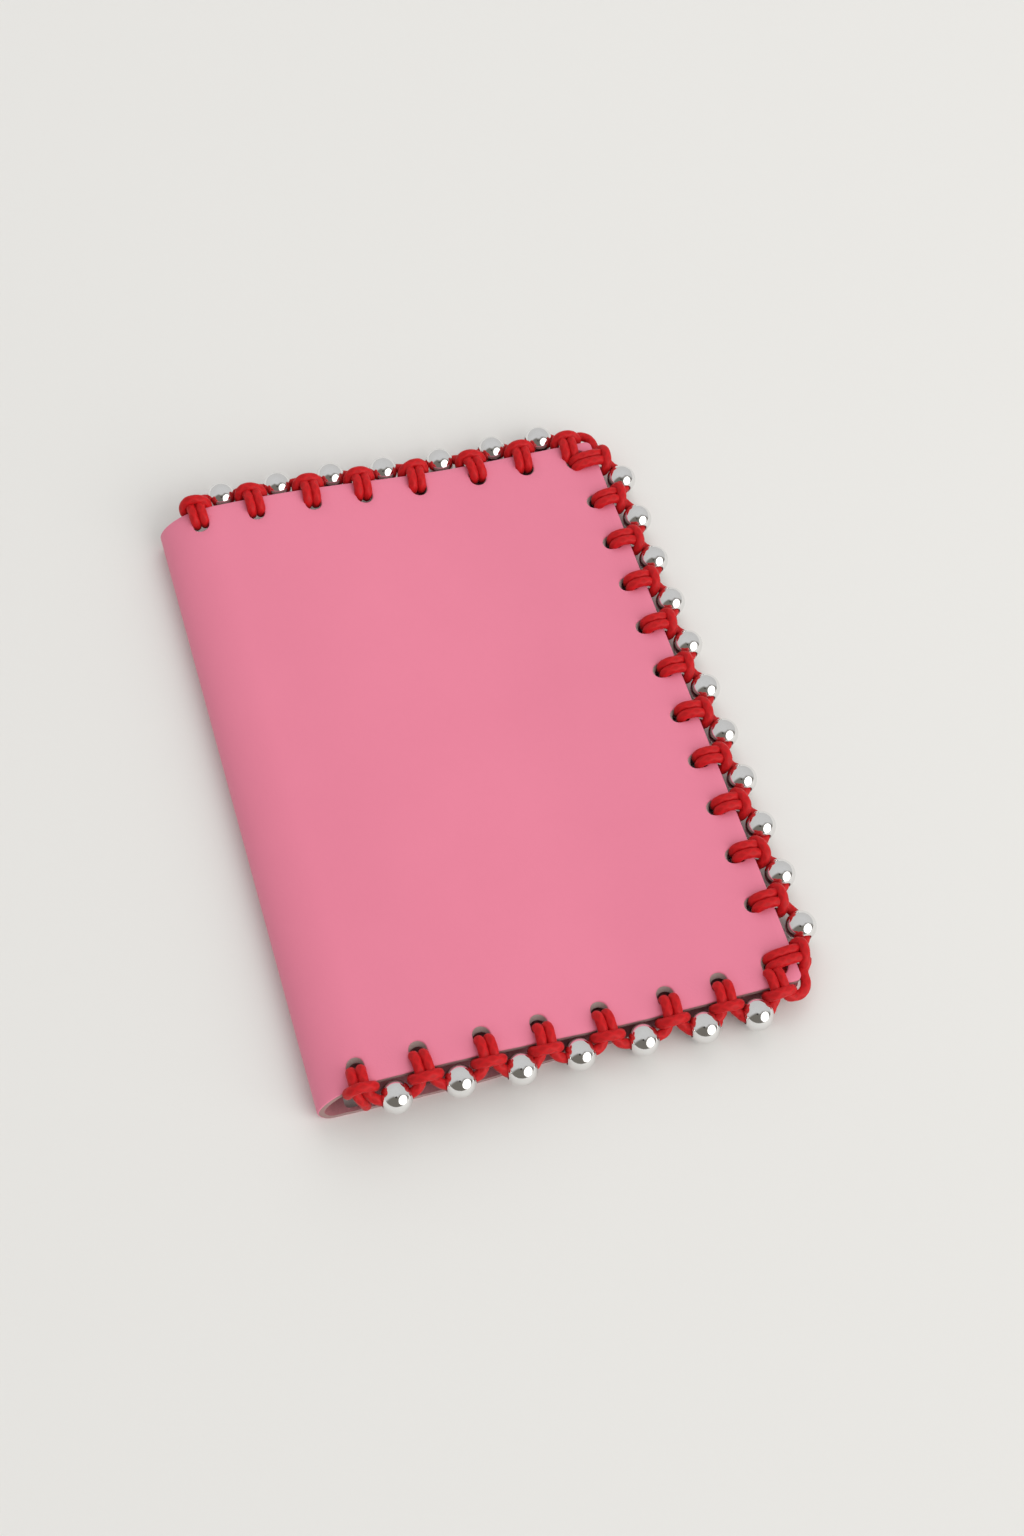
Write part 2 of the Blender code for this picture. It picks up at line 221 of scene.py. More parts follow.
def between(tree, value, start, end):
    """0 where the value is at the start, 1 from the end on, eased between them."""
    ranged = tree.nodes.new("ShaderNodeMapRange")
    ranged.interpolation_type = "SMOOTHSTEP"
    ranged.inputs["From Min"].default_value = start
    ranged.inputs["From Max"].default_value = end
    tree.links.new(value, ranged.inputs["Value"])
    return ranged.outputs["Result"]


def maths(tree, operation, *values):
    """A maths node's output, from values that are each a socket or a number."""
    node = tree.nodes.new("ShaderNodeMath")
    node.operation = operation
    for socket, value in zip(node.inputs, values):
        feed(tree, socket, value)
    return node.outputs["Value"]


def room_world():
    """A pale room, a little whiter overhead; its near side looks dim in the beads."""
    world = bpy.data.worlds.new("room")
    bpy.context.scene.world = world
    world.use_nodes = True
    tree = world.node_tree
    background = tree.nodes["Background"]
    place = tree.nodes.new("ShaderNodeTexCoord")
    split = tree.nodes.new("ShaderNodeSeparateXYZ")
    tree.links.new(place.outputs["Generated"], split.inputs["Vector"])
    ramp = tree.nodes.new("ShaderNodeValToRGB")
    ramp.color_ramp.elements[0].position = 0.0
    ramp.color_ramp.elements[0].color = (0.88, 0.875, 0.86, 1)
    ramp.color_ramp.elements[1].position = 0.85
    ramp.color_ramp.elements[1].color = (0.95, 0.95, 0.95, 1)
    tree.links.new(split.outputs["Z"], ramp.inputs["Fac"])
    near_side = between(tree, split.outputs["Y"], -0.02, -0.30)
    below_ceiling = between(tree, split.outputs["Z"], 0.98, 0.88)
    mirrored = tree.nodes.new("ShaderNodeLightPath").outputs["Is Glossy Ray"]
    dim = maths(tree, "MULTIPLY", maths(tree, "MULTIPLY", near_side, below_ceiling), mirrored)
    colour = colour_mix(tree, dim, ramp.outputs["Color"], (0.26, 0.24, 0.21, 1))
    tree.links.new(colour, background.inputs["Color"])
    background.inputs["Strength"].default_value = ROOM_STRENGTH


room_world()


# ---------------------------------------------------------------------------------------------
# The cover: one piece of smooth pink calf leather, 1.4 mm thick, folded round without a crease
# and punched with slots along its open edges. It is drawn as two sheets that meet at the fold's
# outermost line, because each of them bends with its own half of the fold.

LEATHER = 0.0014
EDGE_ROUND = 0.00028
EDGE_ROUND_TURN = math.cos(math.pi / 4)
RIM_CLEAR = 0.0011               # no free mesh points nearer to the outline than this
SLOT_CLEAR = 0.0005              # nor to a slot
SHEET_STEP = 0.0017              # between the free points along the flat part
SHEET_ROWS = 71
WIDE_BEND_POINTS = 37
TIGHT_BEND_POINTS = 19
SHARP_TURN = math.radians(50)    # shaded as an edge from here on
CORNER_ROUND = 0.0014
OPEN_HEIGHT = 0.0051             # of the front cover's outer face, at the open side
CREST_HEIGHT = 0.0089            # and where it is highest, near the fold
CREST_END = 0.020                # from the fold
FALL_END = 0.072
TIGHT_BEND = 0.0034              # the back cover's bend into the fold
WIDE_BEND = 0.012                # the front cover's
FOLD_SLIP = -0.0015              # how far the sheet slips along the fold, at its outermost line
BACK_SLIPS = (                   # the same for the back cover, from the fold to the open side
    (0.0034, -0.0019), (0.016, -0.0022), (0.032, -0.0024), (0.060, -0.0013), (0.100, 0.0),
)
SLOT_WIDTH = 0.0036
SLOT_OUTER = 0.0019              # in from the edge
SLOT_INNER = 0.0059
SLOT_ROUND = 0.0009              # its outer corners
SLOT_TAPER = 0.0007              # how much shorter it is on the flesh side
CORNER_SLOT = (0.0019, 0.0071)   # in from both edges
CORNER_SLOT_ROUND = 0.0021
EDGE_SLOTS_MM = (8.8, 21.3, 34.1, 45.8, 58.4, 72.2, 83.5)  # from the fold, marked one by one
BACK_FIRST_SLOT = (-0.0007, 0.0012, 0.0011)  # the back cover's: moved, wider, further out by
SIDE_SLOTS = (0.0183, 0.1233)    # the first and last of them, from the near edge
SIDE_SLOT_COUNT = 10
PORE_SHARE = 0.55                # of the grain's height, against the creases' 1

GRAIN, CUT_EDGE, FLESH, SLOT_WALL = range(4)  # material slots

fold_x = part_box("spine")[0][0]
near_y, far_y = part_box("front_cover")[0][1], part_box("front_cover")[1][1]
open_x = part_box("front_cover")[1][0]
cover_width = open_x - fold_x
cover_length = far_y - near_y
side_places = [float(y) for y in np.linspace(*SIDE_SLOTS, SIDE_SLOT_COUNT)]
edge_places = [x / 1000 for x in EDGE_SLOTS_MM]


def front_height(x):
    """Outer face of the front cover above the paper, x from the fold."""
    if x < WIDE_BEND:
        share = (WIDE_BEND - max(x, 0.0)) / WIDE_BEND
        return TIGHT_BEND + (CREST_HEIGHT - TIGHT_BEND) * math.sqrt(1 - share**2)
    fall = min(max((x - CREST_END) / (FALL_END - CREST_END), 0), 1)
    return CREST_HEIGHT - (CREST_HEIGHT - OPEN_HEIGHT) * (1 - math.cos(math.pi * fall)) / 2


def front_slope(x):
    return (front_height(x + 1e-4) - front_height(x - 1e-4)) / 2e-4


class FoldedLine:
    """The outer face seen from the near side, as places and inward normals along its length.

    The sheet was folded a little askew, so each place also slips along the fold.
    """

    def __init__(self, points, normals, slips, first_slot=()):
        self.first_slot = first_slot
        self.points = np.array(points)
        self.normals = np.array(normals)
        self.slips = np.array(slips)
        steps = np.linalg.norm(np.diff(self.points, axis=0), axis=1)
        self.along = np.concatenate([[0.0], np.cumsum(steps)])
        self.length = self.along[-1]

    def along_at(self, x):
        """The length along the line at x from the fold, past the bends."""
        return float(np.interp(x, self.points[:, 0], self.along))

    def place(self, s, y, depth):
        """A point in the frame: s along the line, y from the near edge, depth into the leather."""
        x, z = (np.interp(s, self.along, self.points[:, k]) for k in (0, 1))
        nx, nz = (np.interp(s, self.along, self.normals[:, k]) for k in (0, 1))
        slip = np.interp(s, self.along, self.slips)
        return Vector((fold_x + x + nx * depth, near_y + y + slip, z + nz * depth))


def eased(share):
    """0 to 1 with a soft start and a soft end."""
    return (1 - math.cos(math.pi * share)) / 2


def front_line():
    """The front cover's line, from the fold's outermost line over the crest to the open side."""
    rise = CREST_HEIGHT - TIGHT_BEND
    points, normals, slips = [], [], []
    for i in range(61):
        angle = math.pi / 2 * i / 60
        points.append((WIDE_BEND * (1 - math.cos(angle)), TIGHT_BEND + rise * math.sin(angle)))
        dx, dz = WIDE_BEND * math.sin(angle), rise * math.cos(angle)
        normals.append((dz / math.hypot(dx, dz), -dx / math.hypot(dx, dz)))
        slips.append(FOLD_SLIP * (1 - eased(i / 60)))
    for i in range(1, 177):
        x = WIDE_BEND + (cover_width - WIDE_BEND) * i / 176
        slope = front_slope(x)
        points.append((x, front_height(x)))
        normals.append((slope / math.hypot(1, slope), -1 / math.hypot(1, slope)))
        slips.append(0.0)
    return FoldedLine(points, normals, slips)


def back_line():
    """The back cover's line, from the fold's outermost line down to the table and along it."""
    points, normals, slips = [], [], []
    for i in range(41):
        angle = math.pi / 2 * (1 - i / 40)
        points.append((TIGHT_BEND * (1 - math.sin(angle)), TIGHT_BEND * (1 - math.cos(angle))))
        normals.append((math.sin(angle), math.cos(angle)))
        slips.append(FOLD_SLIP + (BACK_SLIPS[0][1] - FOLD_SLIP) * eased(i / 40))
    for x, slip in BACK_SLIPS[1:]:
        points.append((min(x, cover_width), 0.0))
        normals.append((0.0, 1.0))
        slips.append(slip)
    return FoldedLine(points, normals, slips, BACK_FIRST_SLOT)


def slot_loop(grow, taper, moved=0.0, wider=0.0, outwards=0.0):
    """A slot's outline as (along the edge, in from the edge), grown by that much all round.

    The taper draws in its round end, where the punch went in at a slant. The last three move it
    along the edge, widen it and move it out.
    """
    half = (SLOT_WIDTH + wider) / 2 + grow
    corner = SLOT_ROUND + grow
    outer = SLOT_OUTER - grow
    middle = SLOT_INNER - SLOT_WIDTH / 2 - taper
    loop = []
    for start, across in ((math.pi, -half + corner), (math.pi * 1.5, half - corner)):
        for i in range(5):
            angle = start + math.pi / 2 * i / 4
            loop.append((
                across + corner * math.cos(angle),
                outer + corner + corner * math.sin(angle),
            ))
    for i in range(13):
        angle = math.pi * i / 12
        loop.append((half * math.cos(angle), middle + half * math.sin(angle)))
    return [(t + moved, n - outwards) for t, n in loop]


def corner_slot_loop(grow, taper):
    """The rounded hole that the two edges share at a corner, as distances in from both edges."""
    low, high = CORNER_SLOT[0] - grow, CORNER_SLOT[1] + grow - taper
    radius = CORNER_SLOT_ROUND + grow
    loop = []
    for k, (a, b) in enumerate(((high, high), (low, high), (low, low), (high, low))):
        ca = a - radius if a == high else a + radius
        cb = b - radius if b == high else b + radius
        for i in range(6):
            angle = math.pi / 2 * (k + i / 5)
            loop.append((ca + radius * math.cos(angle), cb + radius * math.sin(angle)))
    return loop


def rim_loop(line, grow):
    """The sheet's own outline as (s, y), drawn in by -grow, round at its two open corners."""
    inset = -grow
    radius = CORNER_ROUND - inset
    end = line.length - inset
    loop = []
    for i in range(9):
        angle = -math.pi / 2 + math.pi / 2 * i / 8
        loop.append((
            end - radius + radius * math.cos(angle),
            inset + radius + radius * math.sin(angle),
        ))
    for i in range(1, 60):
        loop.append((end, inset + radius + (cover_length - 2 * inset - 2 * radius) * i / 60))
    for i in range(9):
        angle = math.pi / 2 * i / 8
        loop.append((
            end - radius + radius * math.cos(angle),
            cover_length - inset - radius + radius * math.sin(angle),
        ))
    stations = sheet_stations(line)
    straight = [s for s in reversed(stations) if s < end - radius - 0.0005]
    loop += [(s, cover_length - inset) for s in straight]
    loop += [(0.0, y) for y in sheet_rows()[::-1][1:-1]]
    loop += [(s, inset) for s in reversed(straight)]
    return loop


def sheet_stations(line):
    """Lengths along the sheet where it has a row of points: close together round the fold."""
    wide = line.points[-1][1] > LEATHER
    bend = line.along_at(WIDE_BEND if wide else TIGHT_BEND)
    fine = list(np.linspace(0, bend, WIDE_BEND_POINTS if wide else TIGHT_BEND_POINTS))
    flat = list(np.linspace(bend, line.length, int((line.length - bend) / SHEET_STEP)))
    return fine + flat[1:]


def sheet_rows():
    """Lengths from the near edge where every sheet has a row of points."""
    return list(np.linspace(0, cover_length, SHEET_ROWS))


def all_slot_loops(line, grow, taper=0.0):
    """Every slot's outline on the sheet as (s, y)."""
    loops = []
    for i, x in enumerate(edge_places):
        s = line.along_at(x)
        loop = slot_loop(grow, taper, *(line.first_slot if i == 0 else ()))
        loops.append([(s + t, n) for t, n in loop])
        loops.append([(s + t, cover_length - n) for t, n in loop])
    for y in side_places:
        loops.append([(line.length - n, y + t) for t, n in slot_loop(grow, taper)])
    for mirrored in (False, True):
        loops.append([
            (line.length - a, cover_length - b if mirrored else b)
            for a, b in corner_slot_loop(grow, taper)
        ])
    return loops


def inside(points, loop):
    """Which of the points lie in a closed loop, by counting the sides to the right of each."""
    x, y = np.array(points).T
    crossed = np.zeros(len(x), bool)
    for (x1, y1), (x2, y2) in zip(loop, loop[1:] + loop[:1]):
        if y1 != y2:
            crossed ^= ((y1 > y) != (y2 > y)) & (x < (x2 - x1) * (y - y1) / (y2 - y1) + x1)
    return crossed


def clear_of(points, loops, margin):
    """Which of the points lie outside every loop's own box, grown by the margin."""
    points = np.array(points)
    free = np.ones(len(points), bool)
    for loop in loops:
        low, high = np.min(loop, axis=0) - margin, np.max(loop, axis=0) + margin
        free &= ~((points > low) & (points < high)).all(axis=1)
    return free


def leather_sheet(name, line, materials):
    """A sheet with rounded, punched edges.

    Its materials are the grain outside, the cut edge, the flesh inside and the slots' walls.
    """
    inner_rim = rim_loop(line, -EDGE_ROUND)
    inner_slots = all_slot_loops(line, EDGE_ROUND)
    flat_points, sides = [], []
    for loop in [inner_rim] + inner_slots:
        start = len(flat_points)
        flat_points += loop
        sides += [(start + i, start + (i + 1) % len(loop)) for i in range(len(loop))]
    rim_count = len(flat_points)
    stations = [s for s in sheet_stations(line)[1:] if s < line.length - RIM_CLEAR]
    rows = [y for y in sheet_rows() if RIM_CLEAR < y < cover_length - RIM_CLEAR]
    grid = [(s, y) for s in stations for y in rows]
    free = clear_of(grid, inner_slots, SLOT_CLEAR)
    flat_points += [place for place, kept in zip(grid, free) if kept]
    points, _, faces, origins, _, _ = geometry.delaunay_2d_cdt(
        [Vector(p) for p in flat_points], sides, [], 0, 1e-7
    )
    source = [o[0] for o in origins]
    mesh = bmesh.new()
    outer_points = list(flat_points)
    outer_loops = [rim_loop(line, 0.0)] + all_slot_loops(line, 0.0)
    outer_points[:rim_count] = [p for loop in outer_loops for p in loop]
    flesh_loops = [rim_loop(line, 0.0)] + all_slot_loops(line, 0.0, SLOT_TAPER)
    flesh_points = list(outer_points)
    flesh_points[:rim_count] = [p for loop in flesh_loops for p in loop]

    def layer(depth, places):
        return [mesh.verts.new(line.place(s, y, depth)) for s, y in places]

    grain = layer(0.0, flat_points)
    flesh = layer(LEATHER, flesh_points)
    corners = np.array([[source[c] for c in face] for face in faces])
    middles = np.array(flat_points)[corners].mean(axis=1)
    kept = inside(middles, inner_rim)
    for loop in inner_slots:
        kept &= ~inside(middles, loop)
    for ids in corners[kept]:
        mesh.faces.new([grain[i] for i in ids]).material_index = GRAIN
        mesh.faces.new([flesh[i] for i in reversed(ids)]).material_index = FLESH
    rounded_points = [
        (a[0] + (b[0] - a[0]) * EDGE_ROUND_TURN, a[1] + (b[1] - a[1]) * EDGE_ROUND_TURN)
        for a, b in zip(flat_points[:rim_count], outer_points[:rim_count])
    ]
    rings = [
        grain[:rim_count],
        layer(EDGE_ROUND * (1 - EDGE_ROUND_TURN), rounded_points),
        layer(EDGE_ROUND, outer_points[:rim_count]),
        flesh[:rim_count],
    ]
    for k, (upper, lower) in enumerate(zip(rings, rings[1:])):
        for a, b in sides:
            wall = CUT_EDGE if a < len(inner_rim) else SLOT_WALL
            face = mesh.faces.new((upper[a], lower[a], lower[b], upper[b]))
            face.material_index = GRAIN if k < 2 else wall
    bmesh.ops.recalc_face_normals(mesh, faces=mesh.faces)
    obj = mesh_object(name, mesh, *materials)
    obj.data.shade_smooth()
    obj.data.set_sharp_from_angle(angle=SHARP_TURN)
    return obj


def grain_group():
    """Fine smooth grain: soft pores and faint creases, as a height and a cloudy mask."""
    group = bpy.data.node_groups.new("calf grain", "ShaderNodeTree")
    group.interface.new_socket("Pore Scale", in_out="INPUT", socket_type="NodeSocketFloat")
    group.interface.new_socket("Cloud Scale", in_out="INPUT", socket_type="NodeSocketFloat")
    group.interface.new_socket("Height", in_out="OUTPUT", socket_type="NodeSocketFloat")
    group.interface.new_socket("Cloud", in_out="OUTPUT", socket_type="NodeSocketFloat")
    entry = group.nodes.new("NodeGroupInput")
    leave = group.nodes.new("NodeGroupOutput")
    place = group.nodes.new("ShaderNodeTexCoord")
    pores = group.nodes.new("ShaderNodeTexVoronoi")
    pores.feature = "SMOOTH_F1"
    creases = add_node(group, "ShaderNodeTexNoise", Detail=3.0, Distortion=0.6)
    clouds = add_node(group, "ShaderNodeTexNoise", Detail=3.0, Roughness=0.6)
    for texture, size in ((pores, "Pore Scale"), (creases, "Pore Scale"), (clouds, "Cloud Scale")):
        group.links.new(place.outputs["Object"], texture.inputs["Vector"])
        group.links.new(entry.outputs[size], texture.inputs["Scale"])
    pore, crease = pores.outputs["Distance"], creases.outputs["Fac"]
    height = maths(group, "MULTIPLY_ADD", pore, PORE_SHARE, crease)
    group.links.new(height, leave.inputs["Height"])
    group.links.new(clouds.outputs["Fac"], leave.inputs["Cloud"])
    return group


calf_grain = grain_group()


def use_grain(tree, pore_scale, cloud_scale):
    """The grain group in a material."""
    node = tree.nodes.new("ShaderNodeGroup")
    node.node_tree = calf_grain
    node.inputs["Pore Scale"].default_value = pore_scale
    node.inputs["Cloud Scale"].default_value = cloud_scale
    return node


def leather_material(name, light, dark, roughness, pore_scale, bump_depth):
    """Leather of one colour, a little cloudy, with its grain as bump of that depth."""
    made, shader, tree = node_material(name)
    grain = use_grain(tree, pore_scale, 35.0)
    colour = colour_mix(tree, grain.outputs["Cloud"], dark, light)
    tree.links.new(colour, shader.inputs["Base Color"])
    spread = tree.nodes.new("ShaderNodeMapRange")
    spread.inputs["To Min"].default_value = roughness - 0.05
    spread.inputs["To Max"].default_value = roughness + 0.05
    tree.links.new(grain.outputs["Cloud"], spread.inputs["Value"])
    tree.links.new(spread.outputs["Result"], shader.inputs["Roughness"])
    bump = add_node(tree, "ShaderNodeBump", Strength=0.25, Distance=bump_depth)
    tree.links.new(grain.outputs["Height"], bump.inputs["Height"])
    tree.links.new(bump.outputs["Normal"], shader.inputs["Normal"])
    shader.inputs["Specular IOR Level"].default_value = 0.35
    shader.inputs["Sheen Weight"].default_value = 0.08
    return made


pink_grain = leather_material(
    "pink grain", (0.805, 0.224, 0.330, 1), (0.756, 0.200, 0.300, 1), 0.52, 2600.0, 0.00012
)
cut_edge = leather_material(
    "burnished cut edge", (0.40, 0.245, 0.235, 1), (0.28, 0.165, 0.155, 1), 0.75, 4200.0, 0.0003
)
slot_wall = leather_material(
    "raw punched fibres", (0.50, 0.43, 0.40, 1), (0.32, 0.26, 0.24, 1), 0.9, 4200.0, 0.0005
)
# Partly painted shade: the flesh side's own pinkish brown, taken darker than it is to stand for
# the shade inside the holder where it is seen.
flesh_with_painted_shade = leather_material(
    "leather flesh side with painted shade", (0.50, 0.20, 0.22, 1), (0.38, 0.14, 0.16, 1), 0.9, 3000.0, 0.0004
)
cover_finish = (pink_grain, cut_edge, flesh_with_painted_shade, slot_wall)

front_fold_line = front_line()
front_leather = leather_sheet("front_leather", front_fold_line, cover_finish)
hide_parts("front_cover", "spine")
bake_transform(front_leather)

back_leather = leather_sheet("back_leather", back_line(), cover_finish)
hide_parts("back_cover", "spine")
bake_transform(back_leather)


# ---------------------------------------------------------------------------------------------
# The two pockets: thin skived leather sheets glued inside the slots, flesh side out, each with a
# shallow thumb notch in the edge that faces the fold.

POCKET = 0.0007
POCKET_GAP = 0.0003
NOTCH_HALF = 0.011
NOTCH_DEPTH = 0.0066
POCKET_ROWS = 91
POCKET_COLUMNS = 28


def pocket_sheet(name, line, node, materials):
    """A thin sheet under a cover, between the slots, with its notched edge towards the fold."""
    low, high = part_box(node)
    start, end = line.along_at(low[0] - fold_x), line.along_at(high[0] - fold_x)
    bottom, top = low[1] - near_y, high[1] - near_y
    rows = np.linspace(bottom, top, POCKET_ROWS)
    middle = (bottom + top) / 2
    mesh = bmesh.new()
    layers = []
    for depth in (LEATHER + POCKET_GAP, LEATHER + POCKET_GAP + POCKET):
        sheet = []
        for y in rows:
            reach = max(0.0, 1 - ((y - middle) / NOTCH_HALF) ** 2) ** 0.5
            first = start + NOTCH_DEPTH * reach
            columns = np.linspace(first, end, POCKET_COLUMNS)
            sheet.append([mesh.verts.new(line.place(s, y, depth)) for s in columns])
        layers.append(sheet)
    for k, sheet in enumerate(layers):
        for one, two in zip(sheet, sheet[1:]):
            for i in range(len(one) - 1):
                face = mesh.faces.new((one[i], one[i + 1], two[i + 1], two[i]))
                face.material_index = 1 if k == 0 else 0
    upper, lower = layers
    last_row, last = POCKET_ROWS - 1, POCKET_COLUMNS - 1
    rim = [(0, i) for i in range(last + 1)] + [(j, last) for j in range(1, last_row + 1)]
    rim += [(last_row, i) for i in range(last - 1, -1, -1)]
    rim += [(j, 0) for j in range(last_row - 1, 0, -1)]
    for (j1, i1), (j2, i2) in zip(rim, rim[1:] + rim[:1]):
        face = mesh.faces.new((upper[j1][i1], upper[j2][i2], lower[j2][i2], lower[j1][i1]))
        face.material_index = 2
    bmesh.ops.recalc_face_normals(mesh, faces=mesh.faces)
    obj = mesh_object(name, mesh, *materials)
    obj.data.shade_smooth()
    obj.data.set_sharp_from_angle(angle=SHARP_TURN)
    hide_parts(node)
    return obj


pocket_face = leather_material(
    "pocket leather", (0.66, 0.30, 0.33, 1), (0.56, 0.24, 0.27, 1), 0.7, 2600.0, 0.0002
)
pocket_finish = (pocket_face, flesh_with_painted_shade, cut_edge)
front_pocket = pocket_sheet("front_pocket_sheet", front_fold_line, "front_pocket", pocket_finish)
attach(front_pocket, "front")
back_pocket = pocket_sheet("back_pocket_sheet", back_line(), "back_pocket", pocket_finish)
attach(back_pocket, "back")


# ---------------------------------------------------------------------------------------------
# The beads: hollow-drilled brass balls, silver plated and polished to a mirror, with the drill's
# mouth broken to a small round lip. The cord runs through them and holds them off the edge.

BEAD_RADIUS = 0.00325
BEAD_BORE = 0.00125              # its radius
BEAD_LIP = 0.00016
BEAD_SIDES = 56


def bead_profile(radius):
    """Half outline of a drilled ball as (along the bore, out from it), mouth to mouth and back."""
    lip = BEAD_BORE + BEAD_LIP
    mouth = math.asin(lip / radius)
    points = []
    for angle in np.linspace(mouth, math.pi - mouth, 37):
        points.append((radius * math.cos(angle), radius * math.sin(angle)))
    end = radius * math.cos(mouth)
    turned = [math.radians(a) for a in (30, 60, 90)]
    inward = [(end - BEAD_LIP * (1 - math.cos(a)), lip - BEAD_LIP * math.sin(a)) for a in turned]
    points += [(-along, out) for along, out in inward]
    return points + inward[::-1]


def bead_material():
    made, shader, tree = node_material("polished silver plate")
    place = tree.nodes.new("ShaderNodeTexCoord")
    smear = add_node(tree, "ShaderNodeTexNoise", Scale=420.0, Detail=3.0)
    tree.links.new(place.outputs["Object"], smear.inputs["Vector"])
    colour = colour_mix(tree, smear.outputs["Fac"], (0.80, 0.79, 0.78, 1), (0.90, 0.90, 0.90, 1))
    tree.links.new(colour, shader.inputs["Base Color"])
    spread = tree.nodes.new("ShaderNodeMapRange")
    spread.inputs["To Min"].default_value = 0.05
    spread.inputs["To Max"].default_value = 0.11
    tree.links.new(smear.outputs["Fac"], spread.inputs["Value"])
    tree.links.new(spread.outputs["Result"], shader.inputs["Roughness"])
    shader.inputs["Metallic"].default_value = 1.0
    return made


def bead_object(node, along, finish):
    """The bead in a CAD bead's place, with its bore along that direction. Gives its centre."""
    low, high = (Vector(corner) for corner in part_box(node))
    centre = (low + high) / 2
    across = Vector((0, 0, 1)).cross(along)
    mesh = bmesh.new()
    rings = []
    for reach, out in bead_profile(BEAD_RADIUS):
        ring = []
        for i in range(BEAD_SIDES):
            turn = 2 * math.pi * i / BEAD_SIDES
            spoke = across * math.cos(turn) + Vector((0, 0, 1)) * math.sin(turn)
            ring.append(mesh.verts.new(centre + along * reach + spoke * out))
        rings.append(ring)
    for first, second in zip(rings, rings[1:] + rings[:1]):
        for i in range(BEAD_SIDES):
            j = (i + 1) % BEAD_SIDES
            mesh.faces.new((first[i], first[j], second[j], second[i]))
    bmesh.ops.recalc_face_normals(mesh, faces=mesh.faces)
    obj = mesh_object("polished_" + node, mesh, finish)
    obj.data.shade_smooth()
    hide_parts(node)
    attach(obj, node)
    return centre


silver = bead_material()
bead_centres = {"near": [], "side": [], "far": []}
for bead_node in sorted(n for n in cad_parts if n.startswith("bead_")):
    run = bead_node.split("_")[1]
    bore = Vector((0, 1, 0)) if run == "side" else Vector((1, 0, 0))
    bead_centres[run].append(bead_object(bead_node, bore, silver))


# ---------------------------------------------------------------------------------------------
# The lacing: one length of 2 mm braided satin cord. At each slot it makes a cow hitch round the
# bridge of leather, then runs through a bead to the next slot. Two hitches share each corner.

CORD = 0.00105                   # its radius
CORD_SIDES = 24
CORD_STEP = 0.00033
HITCH_FROM_CORNER = 0.0054
FAR_REACH = 0.4                  # in millimetres, how much longer the far edge's hitches are
SIDE_REACH = 0.6                 # the side's
CORNER_REACH = 2.4               # and the side's first and last one
FIRST_LIFT = 0.8                 # how much higher the first hitch's bar sits
BEAD_REACH = 0.0026              # the cord is straight so far to both sides of a bead's middle
PLAIT_PITCH_MM = 2.1             # a strand goes a quarter of the way round in this length
PLAIT_RELIEF = 0.012             # of the cord's radius
FIBRE_SHARE = 0.4                # of the cord's bump, against the strands' 1

# Half of a hitch in millimetres: along the edge, outwards from it, up from the leather's middle.
HALF_HITCH = (
    (-2.25, 3.15, -0.70),
    (-1.45, 2.45, -0.15),
    (-1.02, 1.45, 0.60),
    (-0.98, 0.55, 1.35),
    (-0.98, -0.60, 1.66),
    (-0.98, -1.90, 1.62),
    (-0.98, -2.75, 1.05),
    (-0.98, -3.00, 0.0),
    (-0.98, -2.75, -1.05),
    (-1.02, -1.90, -1.62),
    (-1.40, -0.80, -1.68),
    (-2.00, 0.25, -1.55),
    (-2.55, 1.00, -0.95),
    (-2.62, 1.40, -0.10),
    (-2.30, 1.75, 0.70),
    (-1.40, 2.05, 1.50),
)
BAR_TOP = (0.0, 2.15, 1.80)
BAR_SPAN = 4                     # points from the bar's top to where the bar ends
LIFT_SPAN = 7                    # and to where it stops being lifted

# The bare cord round a corner, and a cut end, in millimetres: along X, outwards, up.
CORNER_STEPS = (
    (-2.6, 2.6, -0.5),
    (-1.2, 2.5, -0.5),
    (0.0, 1.6, -0.4),
    (0.6, 0.3, -0.3),
    (0.9, -1.9, -0.3),
)
TAIL_STEPS = ((0.7, 2.2, 2.5), (0.6, 2.4, 3.6), (0.3, 2.5, 5.0), (-0.3, 2.4, 6.5))


def leather_middle(x):
    return front_height(x) - LEATHER / 2


def hitch_points(base, along, outwards, slope, wobble, reach, lift=0.0):
    """One whole hitch, a little uneven, entered from the -along side.

    The reach takes it further in from the edge, and the lift takes its bar up over the edge.
    """
    tilt = math.atan(slope)
    up = Vector((-along.x * math.sin(tilt), -along.y * math.sin(tilt), math.cos(tilt)))
    forward = along * math.cos(tilt) + Vector((0, 0, math.sin(tilt)))
    lean = wobble.uniform(-0.10, 0.10)
    bar_lean = wobble.uniform(-0.22, 0.22)
    points = []
    whole = list(HALF_HITCH) + [BAR_TOP] + [(-t, n, z) for t, n, z in reversed(HALF_HITCH)]
    for k, (t, n, z) in enumerate(whole):
        from_top = abs(k - len(HALF_HITCH))
        bar = max(0.0, 1 - from_top / BAR_SPAN)
        lifted = lift * max(0.0, 1 - from_top / LIFT_SPAN)
        t += lean * n
        n -= reach * min(max((-n - 1) / 2, 0), 1)
        n += bar * bar_lean * t - lifted
        z += bar * bar_lean * t * 0.5 + lifted
        points.append(base + (forward * t + outwards * n + up * z) / 1000)
    return points


def through_bead(centre, along):
    """The straight piece of cord in a bead's bore."""
    return [centre - along * BEAD_REACH, centre, centre + along * BEAD_REACH]


def edge_lacing(y, outwards, beads, wobble, reach):
    """Hitches and beads along the near or far edge, from the fold to the corner."""
    stitches = edge_places + [cover_width - HITCH_FROM_CORNER]
    along = Vector((1, 0, 0))
    points = []
    for i, x in enumerate(stitches):
        slope = front_slope(x)
        base = Vector((fold_x + x, y, leather_middle(x)))
        lift = FIRST_LIFT if i == 0 else 0.0
        points += hitch_points(base, along, outwards, slope, wobble, reach, lift)
        if i < len(beads):
            points += through_bead(beads[i], along)
    return points


